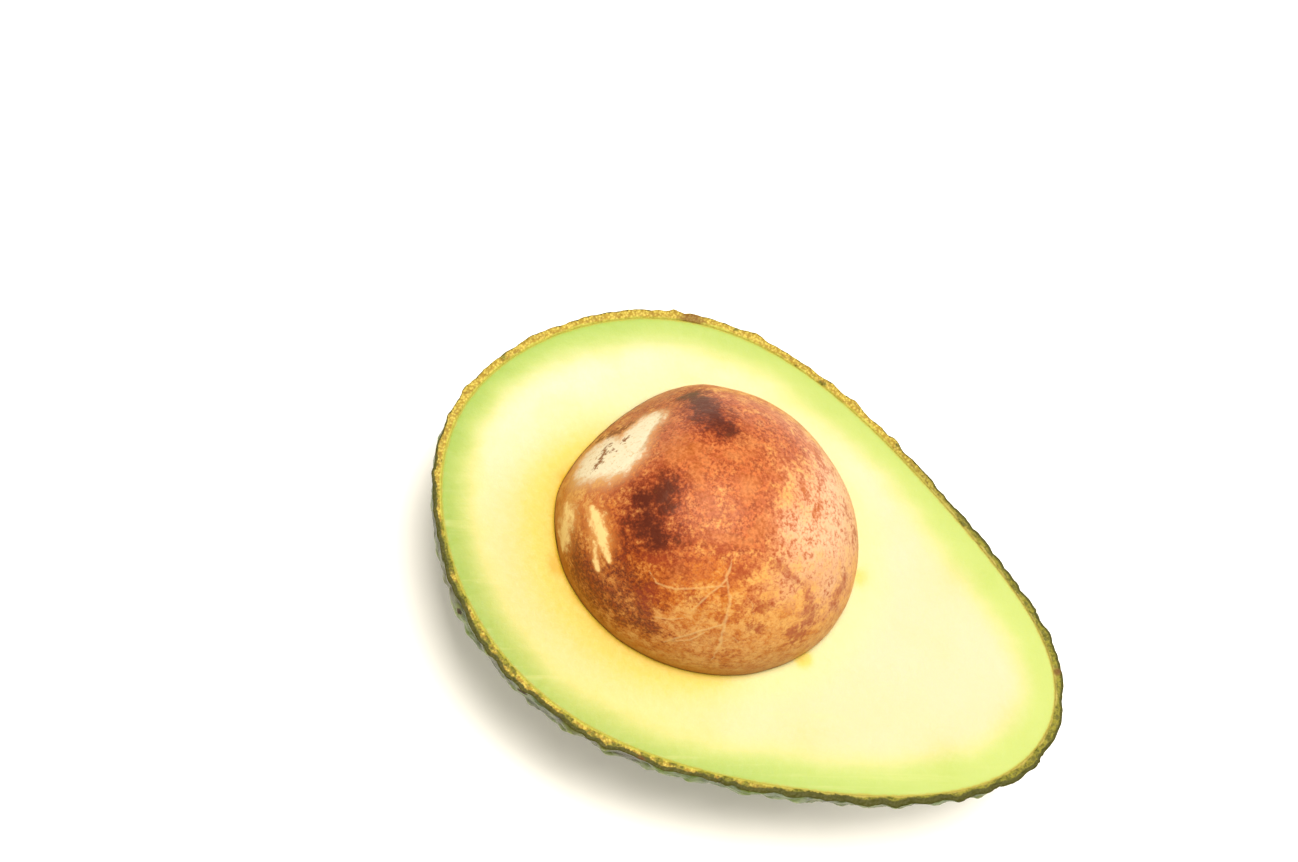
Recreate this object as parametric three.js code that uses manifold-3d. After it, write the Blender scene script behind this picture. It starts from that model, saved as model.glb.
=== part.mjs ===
// Half an avocado, cut lengthways through its seed, lying on its skin with the cut face up.
// Three natural layers show in the cut: the pebbled skin, the flesh inside it, and the round seed that sits
// in the flesh's hollow. Lengths are millimetres. +X points to the stem end, +Z up out of the cut face, and
// the origin is the middle of the small flat that the skin rests on.
import * as THREE from "three";
import { mergeVertices } from "three/addons/utils/BufferGeometryUtils.js";
import Module from "manifold-3d";

const wasm = await Module();
wasm.setup();

// The whole fruit's smooth form, in its own frame: centred on the cut plane, stem end towards +X.
const HALF_LENGTH = 52.3;
const HALF_WIDTH = 32.3; // before the egg terms, which swell the blossom end
const HALF_DEPTH = 29.6;
const EGG = [-0.172, -0.0145, 0.05]; // harmonics of the cut outline, as seen from above
const BELLY_EGG = -0.1; // the belly is nearer to an oval than the cut outline is
const AXIS_BEND = 0.6; // sideways bow of the core line
const AXIS_SWAY = 1.5; // its S bend

// The layers.
const SKIN_THICKNESS = 1.1; // at the valleys between the pebbles
const LAYER_GAP = 0.3;
const REST_FLAT_DEPTH = 0.5; // how much of the belly is pressed flat where it rests

// The seed: an ovoid a little longer than wide, its middle in the cut plane, its tip towards the stem.
const SEED_CENTRE = new THREE.Vector3(-10.3, 1.7, 0);
const SEED_RADII = new THREE.Vector3(23.8, 21.8, 21.8);
const SEED_TIP = 0.04; // how much the stem side draws out
const SEED_SHOULDER = 0.034; // how much one flank does
const SEED_SCAR_TOWARDS = new THREE.Vector3(-0.86, 0.31, 0.41).normalize();
const SEED_SCAR_HALF_ANGLE = 0.72; // radians, of the flattened scar where the seed was attached
const SEED_SCAR_DEPTH = 2.6;

// Pebbles: raised bumps on the skin, strung along the fruit, each with its own size, height and lean.
const PEBBLE_COUNT = 760; // over the whole fruit
const PEBBLE_RADIUS = 2.5;
const PEBBLE_HEIGHT = 0.8;
const PEBBLE_STRETCH = 1.7; // most that one is drawn out into a ridge
const PEBBLE_LEAN = 0.9; // radians, most that a ridge turns off the fruit's length
const PEBBLE_SCATTER = 0.55; // of the spiral's spacing
const CALM_SIDE = new THREE.Vector3(-0.75, 0.66, 0).normalize(); // pebbles are lower on this side of the fruit
const CALM_SHARE = 0.6;

// The stem scar, a shallow pit with a raised corky lip, just under the cut at the stem end.
const STEM_SCAR = new THREE.Vector3(1, 0.02, -0.13).normalize();
const STEM_SCAR_RADIUS = 3.6;
const STEM_SCAR_DEPTH = 0.6;
const STEM_SCAR_LIP = 0.6;

// How finely each surface is divided: an icosahedron's edge is split into this many and one more.
const SKIN_DETAIL = 28;
const LAYER_DETAIL = 9;
const SEED_DETAIL = 9;

// A repeatable draw from 0 to 1 for the pebble of that number and the property of that salt.
function draw(number, salt) {
  const wave = Math.sin(number * 12.9898 + salt * 78.233) * 43758.5453;
  return wave - Math.floor(wave);
}

// The point of the fruit's smooth form that lies towards a unit direction, with the form drawn in by inset.
function fruitPoint(towards, inset) {
  const u = towards.x;
  const outline = 1 + EGG[0] * u + EGG[1] * (2 * u * u - 1) + EGG[2] * (4 * u ** 3 - 3 * u);
  const belly = 1 + BELLY_EGG * u;
  const core = AXIS_BEND * (u * u - 0.5) + AXIS_SWAY * (u ** 3 - 0.75 * u);
  return new THREE.Vector3(
    (HALF_LENGTH - inset) * u,
    core + (HALF_WIDTH - inset) * outline * towards.y,
    (HALF_DEPTH - inset) * belly * towards.z,
  );
}

// The outward direction of the fruit's surface there, near enough for raising bumps.
function fruitNormal(towards) {
  const { x, y, z } = towards;
  return new THREE.Vector3(x / HALF_LENGTH, y / HALF_WIDTH, z / HALF_DEPTH).normalize();
}

// The pebbles, set along a golden spiral that runs round the fruit from end to end.
function makePebbles() {
  const goldenAngle = Math.PI * (3 - Math.sqrt(5));
  const spacing = Math.sqrt((4 * Math.PI) / PEBBLE_COUNT);
  const pebbles = [];
  for (let i = 0; i < PEBBLE_COUNT; i++) {
    const along = 1 - (2 * (i + 0.5)) / PEBBLE_COUNT;
    const shift = (salt) => (draw(i, salt) - 0.5) * 2 * PEBBLE_SCATTER * spacing;
    const turn = i * goldenAngle;
    const ring = Math.sqrt(1 - along * along);
    const towards = new THREE.Vector3(
      along + shift(1),
      ring * Math.cos(turn) + shift(2),
      ring * Math.sin(turn) + shift(3),
    ).normalize();
    const normal = fruitNormal(towards);
    const lean = (draw(i, 4) - 0.5) * 2 * PEBBLE_LEAN;
    const lengthways = new THREE.Vector3(1, 0, 0).addScaledVector(normal, -normal.x).normalize();
    const calm = 1 - CALM_SHARE * Math.max(0, towards.dot(CALM_SIDE));
    pebbles.push({
      centre: fruitPoint(towards, 0),
      ridge: lengthways.applyAxisAngle(normal, lean),
      radius: PEBBLE_RADIUS * (0.7 + 0.6 * draw(i, 5)),
      stretch: 1 + (PEBBLE_STRETCH - 1) * draw(i, 6),
      height: PEBBLE_HEIGHT * (0.45 + 0.55 * draw(i, 7)) * calm,
    });
  }
  return pebbles;
}

const pebbles = makePebbles();
const stemScarCentre = fruitPoint(STEM_SCAR, 0);

// How far the skin stands out of the smooth form at a point: the tallest pebble there, or the stem scar.
function relief(point) {
  let raised = 0;
  const offset = new THREE.Vector3();
  for (const { centre, ridge, radius, stretch, height } of pebbles) {
    offset.subVectors(point, centre);
    const reach = offset.lengthSq();
    if (reach > (radius * stretch) ** 2) continue;
    const along = offset.dot(ridge);
    const spread = (along / stretch) ** 2 + reach - along * along;
    const share = 1 - spread / radius ** 2;
    if (share > 0) raised = Math.max(raised, height * share * Math.sqrt(share));
  }
  const fromScar = point.distanceTo(stemScarCentre) / STEM_SCAR_RADIUS;
  const clear = THREE.MathUtils.smoothstep(fromScar, 0.9, 2);
  const pit = STEM_SCAR_DEPTH * Math.max(0, 1 - fromScar ** 2);
  const lip = STEM_SCAR_LIP * Math.exp(-(((fromScar - 1) / 0.25) ** 2));
  return raised * clear - pit + lip;
}

function skinPoint(towards) {
  const point = fruitPoint(towards, 0);
  return point.addScaledVector(fruitNormal(towards), relief(point));
}

// The seed's surface towards a unit direction, grown outwards by margin.
function seedPoint(towards, margin) {
  const tip = 1 + SEED_TIP * towards.x;
  const shoulder = 1 + SEED_SHOULDER * towards.y;
  const angle = towards.angleTo(SEED_SCAR_TOWARDS) / SEED_SCAR_HALF_ANGLE;
  const flattened = SEED_SCAR_DEPTH * Math.max(0, 1 - angle ** 2) ** 1.5;
  return new THREE.Vector3(
    towards.x * (SEED_RADII.x * tip + margin - flattened),
    towards.y * (SEED_RADII.y * shoulder + margin - flattened),
    towards.z * (SEED_RADII.z + margin - flattened),
  ).add(SEED_CENTRE);
}

// A closed solid whose surface lies where place puts each direction from its middle.
function blob(detail, place) {
  const ball = new THREE.IcosahedronGeometry(1, detail);
  ball.deleteAttribute("normal");
  ball.deleteAttribute("uv");
  const merged = mergeVertices(ball, 1e-5);
  const corners = merged.attributes.position;
  const towards = new THREE.Vector3();
  for (let i = 0; i < corners.count; i++) {
    towards.fromBufferAttribute(corners, i).normalize();
    const { x, y, z } = place(towards);
    corners.setXYZ(i, x, y, z);
  }
  return solidOf(merged);
}

function solidOf(geometry) {
  return new wasm.Manifold(
    new wasm.Mesh({
      numProp: 3,
      vertProperties: geometry.attributes.position.array,
      triVerts: new Uint32Array(geometry.index.array),
    }),
  );
}

// The slab between two heights, wide enough to hold the whole fruit.
function slab(bottom, top) {
  const span = 4 * HALF_LENGTH;
  const box = new THREE.BoxGeometry(span, span, top - bottom);
  box.translate(0, 0, (bottom + top) / 2);
  box.deleteAttribute("normal");
  box.deleteAttribute("uv");
  return solidOf(mergeVertices(box));
}

const restHeight = -(HALF_DEPTH - REST_FLAT_DEPTH);
const belowCut = slab(restHeight, 0);

function makeSkin() {
  const whole = blob(SKIN_DETAIL, skinPoint);
  const inside = blob(LAYER_DETAIL, (towards) => fruitPoint(towards, SKIN_THICKNESS));
  return whole.intersect(belowCut).subtract(inside);
}

function makeFlesh() {
  const inset = SKIN_THICKNESS + LAYER_GAP;
  const whole = blob(LAYER_DETAIL, (towards) => fruitPoint(towards, inset));
  const hollow = blob(SEED_DETAIL, (towards) => seedPoint(towards, LAYER_GAP));
  return whole.intersect(belowCut).subtract(hollow);
}

function makeSeed() {
  return blob(SEED_DETAIL, (towards) => seedPoint(towards, 0));
}

// Where the small flat's middle lies along the fruit, under the half's centre of mass.
const REST_POINT_X = -4.4;

const half = new THREE.Group();

function addLayer(name, solid, colour, roughness) {
  const { vertProperties, triVerts } = solid.getMesh();
  const geometry = new THREE.BufferGeometry();
  geometry.setAttribute("position", new THREE.BufferAttribute(vertProperties, 3));
  geometry.setIndex(new THREE.BufferAttribute(triVerts, 1));
  geometry.computeVertexNormals();
  const material = new THREE.MeshStandardMaterial({ color: colour, roughness, metalness: 0 });
  const mesh = new THREE.Mesh(geometry, material);
  mesh.name = name;
  mesh.position.set(-REST_POINT_X, 0, -restHeight);
  half.add(mesh);
}

addLayer("skin", makeSkin(), 0x3f6b1e, 0.45);
addLayer("flesh", makeFlesh(), 0xf6ee9a, 0.5);
addLayer("seed", makeSeed(), 0x9a5226, 0.4);

export default half;
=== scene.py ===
import math

import bmesh
import bpy
import numpy as np
from mathutils import Matrix, Vector, kdtree, noise


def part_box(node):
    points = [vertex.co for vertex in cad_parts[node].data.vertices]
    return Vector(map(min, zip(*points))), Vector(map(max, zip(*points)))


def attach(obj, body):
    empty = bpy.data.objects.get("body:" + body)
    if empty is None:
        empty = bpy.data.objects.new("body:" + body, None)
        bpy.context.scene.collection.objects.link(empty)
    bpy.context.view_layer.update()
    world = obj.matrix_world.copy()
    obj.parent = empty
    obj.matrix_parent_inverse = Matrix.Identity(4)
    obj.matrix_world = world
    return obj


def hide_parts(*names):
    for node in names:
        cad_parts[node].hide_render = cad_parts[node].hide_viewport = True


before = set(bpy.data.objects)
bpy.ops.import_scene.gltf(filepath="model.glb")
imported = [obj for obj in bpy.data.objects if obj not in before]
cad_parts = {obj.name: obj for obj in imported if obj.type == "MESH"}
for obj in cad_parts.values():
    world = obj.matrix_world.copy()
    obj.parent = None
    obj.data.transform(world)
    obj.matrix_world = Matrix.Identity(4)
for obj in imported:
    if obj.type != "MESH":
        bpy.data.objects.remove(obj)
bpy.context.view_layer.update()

# The skin is a leathery peel a little over a millimetre thick, grown as one piece round the whole fruit and
# cut through with a knife. Hard pebbles stand out of it, drawn into ridges along the fruit, and its cut edge
# is a grainy golden rim. It holds the flesh, and its belly is pressed flat where the half lies on it.
MM = 0.001
HALF_LENGTH = 52.3 * MM
HALF_WIDTH = 32.3 * MM  # before the egg terms, which swell the blossom end
HALF_DEPTH = 29.6 * MM
EGG = (-0.172, -0.0145, 0.05)  # harmonics of the cut outline, as seen from above
BELLY_EGG = -0.1
AXIS_BEND = 0.6 * MM  # sideways bow of the core line
AXIS_SWAY = 1.5 * MM  # its S bend
SKIN_THICKNESS = 1.1 * MM

PEBBLE = {"count": 760, "radius": 2.5 * MM, "height": 0.8 * MM, "stretch": 1.7, "lean": 0.9}
NUB = {"count": 3000, "radius": 1.15 * MM, "height": 0.42 * MM, "stretch": 2.3, "lean": 0.6}
BUMP_SCATTER = 0.55  # of the spiral's spacing
BUMP_RADII = (0.7, 0.6)  # least share of the kind's radius, and the most that a draw adds to it
BUMP_HEIGHTS = (0.45, 0.55)  # the same for the height
HIGHEST_BUMP = 0.15  # a bump whose direction rises by more than this doesn't reach the half
CALM_SIDE = Vector((-0.75, 0.66, 0)).normalized()  # bumps are lower on this side of the fruit
CALM_SHARE = 0.6
NUB_SALT = 20  # keeps the nubs' draws apart from the pebbles'
TIP_HEIGHT = 0.16 * MM  # the hard point on top of each pebble
LEATHER_GRAIN = {"depth": 0.12 * MM, "size": 1.5 * MM}

STEM_SCAR = Vector((1, 0.02, -0.13)).normalized()
STEM_SCAR_RADIUS = 3.6 * MM
STEM_SCAR_DEPTH = 0.6 * MM
STEM_SCAR_LIP = 0.6 * MM
STEM_WRINKLES = 26  # furrows that run out from the stem scar
STEM_WRINKLE_DEPTH = 0.3 * MM
STEM_WRINKLE_REACH = 16 * MM

CORK_SPOTS = 150  # over the whole fruit
CORK_SALT = 40
CORK_RADIUS = 1.25 * MM
CORK_DENT = 0.16 * MM  # how far a spot is sunk in the skin
CORK_LIP = 0.10 * MM  # the raised edge round it
OUTSIDE = -2.0  # the depth into a mark that stands for well outside it

SKIN_STEPS = 280  # grid steps across the half, seen from above
SKIN_INSIDE_STEPS = 70
INSIDE_REACH = math.radians(86)  # how near to the cut a coarse inner bowl comes
RIM_RINGS = (0, 0.07, 0.2, 0.38, 0.58, 0.79, 1)  # from the outer edge of the cut skin to its inner edge
RIM_GRAIN = 0.16 * MM
RIM_SWELL = 0.12 * MM  # the rim is this much higher between its edges
# Brown bruises on the rim, the last a reddish nick painted darker with the shade of its step: place and
# radius in millimetres about the fruit's middle, and strength.
RIM_BRUISES_AND_NICK = ((48.8, 9.6, 0.7, 1.0), (-2.8, -33.9, 0.9, 1.0), (-26.5, 30.8, 2.2, 1.0))
BRIGHTENING = 1.68  # how many times brighter than it is the studio light makes a surface look

flesh_low, flesh_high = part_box("flesh")
fruit_middle = np.array([(flesh_low.x + flesh_high.x) / 2, 0, flesh_high.z])  # in the plane of the cut


def fruit_points(towards, inset):
    """The fruit's smooth form towards each unit direction, drawn in by inset, about the fruit's middle."""
    u, v, w = towards.T
    outline = 1 + EGG[0] * u + EGG[1] * (2 * u * u - 1) + EGG[2] * (4 * u**3 - 3 * u)
    belly = 1 + BELLY_EGG * u
    core = AXIS_BEND * (u * u - 0.5) + AXIS_SWAY * (u**3 - 0.75 * u)
    across = core + (HALF_WIDTH - inset) * outline * v
    return np.column_stack([(HALF_LENGTH - inset) * u, across, (HALF_DEPTH - inset) * belly * w])


def fruit_normals(towards):
    normals = towards / np.array([HALF_LENGTH, HALF_WIDTH, HALF_DEPTH])
    return normals / np.linalg.norm(normals, axis=1)[:, None]


def draw(number, salt):
    """A repeatable draw from 0 to 1 for the bump of that number and the property of that salt."""
    wave = math.sin(number * 12.9898 + salt * 78.233) * 43758.5453
    return wave - math.floor(wave)


def scattered(count, number, salt):
    """The direction of one of count places that are strewn evenly over the whole fruit."""
    golden_angle = math.pi * (3 - math.sqrt(5))
    spacing = math.sqrt(4 * math.pi / count)
    along = 1 - 2 * (number + 0.5) / count
    ring = math.sqrt(1 - along * along)
    turn = number * golden_angle
    shift = [(draw(number, salt + axis) - 0.5) * 2 * BUMP_SCATTER * spacing for axis in (1, 2, 3)]
    spot = (along + shift[0], ring * math.cos(turn) + shift[1], ring * math.sin(turn) + shift[2])
    return Vector(spot).normalized()


def strew_bumps(kind, salt):
    """Bumps of one kind, set along a golden spiral round the fruit. Those far above the cut are left out."""
    bumps = []
    for number in range(kind["count"]):
        towards = scattered(kind["count"], number, salt)
        if towards.z > HIGHEST_BUMP:
            continue
        towards_row = np.array([towards])
        normal = Vector(fruit_normals(towards_row)[0])
        lean = (draw(number, salt + 4) - 0.5) * 2 * kind["lean"]
        lengthways = (Vector((1, 0, 0)) - normal * normal.x).normalized()
        calm = 1 - CALM_SHARE * max(0, towards.dot(CALM_SIDE))
        bumps.append({
            "centre": fruit_points(towards_row, 0)[0],
            "ridge": np.array(Matrix.Rotation(lean, 3, normal) @ lengthways),
            "radius": kind["radius"] * (BUMP_RADII[0] + BUMP_RADII[1] * draw(number, salt + 5)),
            "stretch": 1 + (kind["stretch"] - 1) * draw(number, salt + 6),
            "height": kind["height"] * (BUMP_HEIGHTS[0] + BUMP_HEIGHTS[1] * draw(number, salt + 7)) * calm,
        })
    return bumps


def raise_bumps(points, bumps):
    """How high the tallest bump stands at each point, and how near its top the point is, from 0 to 1."""
    raised = np.zeros(len(points))
    nearness = np.zeros(len(points))
    for bump in bumps:
        offset = points - bump["centre"]
        reach = np.einsum("ij,ij->i", offset, offset)
        near = np.flatnonzero(reach < (bump["radius"] * bump["stretch"]) ** 2)
        along = offset[near] @ bump["ridge"]
        spread = (along / bump["stretch"]) ** 2 + reach[near] - along**2
        share = np.clip(1 - spread / bump["radius"] ** 2, 0, None)
        raised[near] = np.maximum(raised[near], bump["height"] * share**1.5)
        nearness[near] = np.maximum(nearness[near], share)
    return raised, nearness


def lumps(points, size, layers):
    """Cloudy noise at each point, from about -1 to 1, with lumps of that size and finer ones on them."""
    return np.array([noise.fractal(Vector(point), 1.0, 2.0, layers) for point in points / size])


def fade(values, low, high):
    """0 up to low, 1 from high on, and a soft slope between."""
    share = np.clip((values - low) / (high - low), 0, 1)
    return share * share * (3 - 2 * share)


def spots(points, places):
    """The strength at each point of soft round spots, each given by its place, radius and strength."""
    total = np.zeros(len(points))
    for x, y, radius, strength in places:
        distance = np.hypot(points[:, 0] / MM - x, points[:, 1] / MM - y)
        total += strength * np.exp(-((distance / radius) ** 2))
    return total


def bowl_directions(steps, reach=math.pi / 2):
    """Directions over the lower half ball, as a square grid bent into a disc, so that no pole shows."""
    line = np.linspace(-1, 1, steps + 1)
    a, b = (side.ravel() for side in np.meshgrid(line, line, indexing="ij"))
    wide = np.abs(a) >= np.abs(b)
    radius = np.where(wide, a, b)
    whole = np.where(radius == 0, 1, radius)
    turn = np.where(wide, b / whole * math.pi / 4, math.pi / 2 - a / whole * math.pi / 4)
    tilt = 2 * np.arcsin(np.abs(radius) * math.sin(reach / 2))
    level = np.sin(tilt) * np.sign(radius)
    return np.column_stack([level * np.cos(turn), level * np.sin(turn), -np.cos(tilt)])


def rim_directions(steps):
    """The directions of such a bowl's edge, level and evenly spaced, four times steps of them."""
    turn = np.arange(4 * steps) / (4 * steps) * 2 * math.pi - math.pi / 4
    return np.column_stack([np.cos(turn), np.sin(turn), np.zeros(4 * steps)])


class Shell:
    """One closed mesh, gathered patch by patch. Each patch's edge is a loop of point numbers."""

    def __init__(self):
        self.points = []
        self.faces = []
        self.count = 0

    def add_points(self, points):
        """Takes the points in, and gives their numbers."""
        numbers = np.arange(self.count, self.count + len(points))
        self.points.append(points)
        self.count += len(points)
        return numbers

    def add_bowl(self, points):
        """Takes in a grid laid out as by bowl_directions, and gives the loop round its edge."""
        steps = math.isqrt(len(points)) - 1
        numbers = self.add_points(points).reshape(steps + 1, steps + 1)
        corners = (numbers[:-1, :-1], numbers[1:, :-1], numbers[1:, 1:], numbers[:-1, 1:])
        self.faces += np.column_stack([corner.ravel() for corner in corners]).tolist()
        edges = (numbers[-1, :-1], numbers[:0:-1, -1], numbers[0, :0:-1], numbers[:-1, 0])
        return np.concatenate(edges)

    def add_band(self, first, second):
        """Joins two loops with the same number of points."""
        self.faces += np.column_stack([first, np.roll(first, -1), np.roll(second, -1), second]).tolist()

    def add_taper(self, fine, coarse):
        """Joins a loop to one with a whole number of times fewer points."""
        ratio = len(fine) // len(coarse)
        for number, corner in enumerate(coarse):
            after = coarse[(number + 1) % len(coarse)]
            run = [fine[(number * ratio + step) % len(fine)] for step in range(ratio + 1)]
            middle = ratio // 2
            self.faces += [[run[step], run[step + 1], corner] for step in range(middle)]
            self.faces.append([run[middle], after, corner])
            self.faces += [[run[step], run[step + 1], after] for step in range(middle, ratio)]

    def make(self, name, masks):
        """The piece itself, with its faces turned outwards and each mask stored for its material."""
        mesh = bpy.data.meshes.new(name)
        points = np.concatenate(self.points)
        mesh.from_pydata(points.tolist(), [], self.faces)
        for mask, values in masks.items():
            mesh.attributes.new(mask, "FLOAT", "POINT").data.foreach_set("value", values.astype(np.float32))
        tidy = bmesh.new()
        tidy.from_mesh(mesh)
        bmesh.ops.recalc_face_normals(tidy, faces=tidy.faces)
        tidy.to_mesh(mesh)
        tidy.free()
        mesh.shade_smooth()
        piece = bpy.data.objects.new(name, mesh)
        bpy.context.scene.collection.objects.link(piece)
        return piece


def colour(red, green, blue):
    """The linear colour a shader takes, from how the surface looks in the bright studio light, where paper
    white is 255 and a well lit surface may pass it."""
    channels = []
    for channel in (red / 255, green / 255, blue / 255):
        linear = channel / 12.92 if channel <= 0.04045 else ((channel + 0.055) / 1.055) ** 2.4
        channels.append(linear / BRIGHTENING)
    return (*channels, 1)


class Finish:
    """A procedural material, built up step by step. A step gives the socket that a later one takes."""

    def __init__(self, name):
        self.material = bpy.data.materials.new(name)
        self.material.use_nodes = True
        self.tree = self.material.node_tree
        self.shader = self.tree.nodes["Principled BSDF"]
        self.place = self.node("TexCoord", {}).outputs["Object"]

    def node(self, kind, inputs, **settings):
        node = self.tree.nodes.new("ShaderNode" + kind)
        for setting, value in settings.items():
            setattr(node, setting, value)
        for socket, value in inputs.items():
            self.feed(node.inputs[socket], value)
        return node

    def feed(self, socket, value):
        if isinstance(value, bpy.types.NodeSocket):
            self.tree.links.new(value, socket)
        else:
            socket.default_value = value

    def mask(self, name):
        return self.node("Attribute", {}, attribute_name=name).outputs["Fac"]

    def cloud(self, size, detail=3.0, roughness=0.55, twist=0.0, stretch=(1, 1, 1), turn=0.0):
        """Noise from 0 to 1, with lumps of that size, drawn out by stretch along axes turned about Z."""
        lump = {"Rotation": (0, 0, turn), "Scale": tuple(size * side for side in stretch)}
        mapping = self.node("Mapping", {"Vector": self.place, **lump}, vector_type="TEXTURE")
        inputs = {"Vector": mapping.outputs[0], "Scale": 1, "Detail": detail, "Roughness": roughness}
        return self.node("TexNoise", {**inputs, "Distortion": twist}).outputs[0]

    def cells(self, size):
        """How far each place is from the nearest of many points strewn that far apart."""
        return self.node("TexVoronoi", {"Vector": self.place, "Scale": 1 / size}).outputs["Distance"]

    def maths(self, operation, first, second):
        return self.node("Math", {0: first, 1: second}, operation=operation).outputs[0]

    def slope(self, value, low, high):
        """0 up to low, 1 from high on, and a soft slope between. Low may be the greater of the two."""
        inputs = {"Value": value, "From Min": low, "From Max": high}
        return self.node("MapRange", inputs, interpolation_type="SMOOTHSTEP").outputs[0]

    def spread(self, value, low, high):
        """0 to 1 drawn out to low to high in a straight line."""
        return self.node("MapRange", {"Value": value, "To Min": low, "To Max": high}).outputs[0]

    def blend(self, share, under, over, strength=1.0):
        """Over laid on under, by that share."""
        if strength != 1.0:
            share = self.maths("MULTIPLY", share, strength)
        mix = self.node("Mix", {0: share, 6: under, 7: over}, data_type="RGBA")  # 6 and 7 take its colours
        return mix.outputs[2]

    def bump(self, height, depth, under=None):
        inputs = {"Height": height, "Distance": depth}
        if under is not None:
            inputs["Normal"] = under
        return self.node("Bump", inputs).outputs[0]

    def finish(self, sockets):
        for socket, value in sockets.items():
            self.feed(self.shader.inputs[socket], value)
        return self.material


pebbles = strew_bumps(PEBBLE, 0)
nubs = strew_bumps(NUB, NUB_SALT)
stem_scar_centre = fruit_points(np.array([STEM_SCAR]), 0)[0]


def cork_marks(points):
    """Depth into the corky spots at each point: over 0 inside one, near 0 at its edge, negative outside."""
    depth = np.full(len(points), OUTSIDE)
    for number in range(CORK_SPOTS):
        towards = scattered(CORK_SPOTS, number, CORK_SALT)
        centre = fruit_points(np.array([towards]), 0)[0]
        radius = CORK_RADIUS * (0.45 + 0.8 * draw(number, CORK_SALT + 5) ** 2)
        depth = np.maximum(depth, 1 - np.linalg.norm(points - centre, axis=1) / radius)
    return depth


def skin_relief(points):
    """How far the skin stands out of its smooth form, and the masks for its finish."""
    raised, pebble_top = raise_bumps(points, pebbles)
    small, nub_top = raise_bumps(points, nubs)
    from_scar = np.linalg.norm(points - stem_scar_centre, axis=1)
    scar_share = from_scar / STEM_SCAR_RADIUS
    clear = fade(scar_share, 0.9, 2)
    pit = STEM_SCAR_DEPTH * np.clip(1 - scar_share**2, 0, None)
    lip = STEM_SCAR_LIP * np.exp(-(((scar_share - 1) / 0.25) ** 2))
    around = np.arctan2(points[:, 1] - stem_scar_centre[1], points[:, 2] - stem_scar_centre[2])
    sway = lumps(points, 6 * MM, 2)
    furrow = np.abs(np.sin(around * STEM_WRINKLES / 2 + 1.5 * sway))
    wrinkled = clear * np.clip(1 - from_scar / STEM_WRINKLE_REACH, 0, 1)
    cork = cork_marks(points) + 0.3 * lumps(points, 1.6 * MM, 2)
    leather = LEATHER_GRAIN["depth"] * lumps(points, LEATHER_GRAIN["size"], 3)
    relief = clear * (raised + (1 - 0.6 * fade(pebble_top, 0.2, 0.9)) * small * 0.9 + leather)
    relief += clear * TIP_HEIGHT * fade(pebble_top, 0.86, 1)
    relief += lip - pit - STEM_WRINKLE_DEPTH * wrinkled * (1 - furrow)
    relief -= CORK_DENT * fade(cork, 0.05, 0.5)
    relief += CORK_LIP * np.exp(-((cork / 0.25) ** 2))
    masks = {
        "height": clear * np.clip(raised / PEBBLE["height"], 0, 1),
        # The pebbles' pale tops: partly their own pale points, partly a painted highlight.
        "tip_and_glint": clear * np.maximum(fade(pebble_top, 0.93, 1), 0.75 * fade(nub_top, 0.84, 1)),
        "cork": cork,
        "scar": 1 - fade(scar_share, 0.75, 1.15),
    }
    return relief, masks


skin_towards = bowl_directions(SKIN_STEPS)
skin_smooth = fruit_points(skin_towards, 0)
relief, skin_masks = skin_relief(skin_smooth)
skin_outside = skin_smooth + fruit_normals(skin_towards) * relief[:, None] + fruit_middle
skin_outside[:, 2] = np.clip(skin_outside[:, 2], 0, fruit_middle[2])

skin = Shell()
outer_loop = skin.add_bowl(skin_outside)
rim_out = skin_outside[outer_loop]
rim_towards = rim_directions(SKIN_STEPS)
rim_in = fruit_points(rim_towards, SKIN_THICKNESS) + fruit_middle
rim_width = np.linalg.norm(rim_out - rim_in, axis=1)
loop = outer_loop
rim_masks = {"rim_depth": [], "rim_inward": [], "bruise_and_nick_shade": []}
for share in RIM_RINGS[1:]:
    ring = rim_out + (rim_in - rim_out) * share
    grain = lumps(ring, 0.55 * MM, 2) * RIM_GRAIN
    ring[:, 2] += (grain + RIM_SWELL) * math.sin(math.pi * share) ** 0.5
    next_loop = skin.add_points(ring)
    skin.add_band(loop, next_loop)
    loop = next_loop
    rim_masks["rim_depth"].append(rim_width * share)
    rim_masks["rim_inward"].append(rim_width * (1 - share))
    rim_masks["bruise_and_nick_shade"].append(spots(ring - fruit_middle, RIM_BRUISES_AND_NICK))
inside = fruit_points(bowl_directions(SKIN_INSIDE_STEPS, INSIDE_REACH), SKIN_THICKNESS) + fruit_middle
skin.add_taper(loop, skin.add_bowl(inside))

outside_count = len(skin_outside)
rest_count = skin.count - outside_count
for mask, values in skin_masks.items():
    outside_value = -1.0 if mask == "cork" else 0.0
    skin_masks[mask] = np.concatenate([values, np.full(rest_count, outside_value)])
rim_end = outside_count + 4 * SKIN_STEPS * (len(RIM_RINGS) - 1)
for mask, rings in rim_masks.items():
    skin_masks[mask] = np.zeros(skin.count)
    skin_masks[mask][outside_count:rim_end] = np.concatenate(rings)
peel = skin.make("peel", skin_masks)


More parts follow.
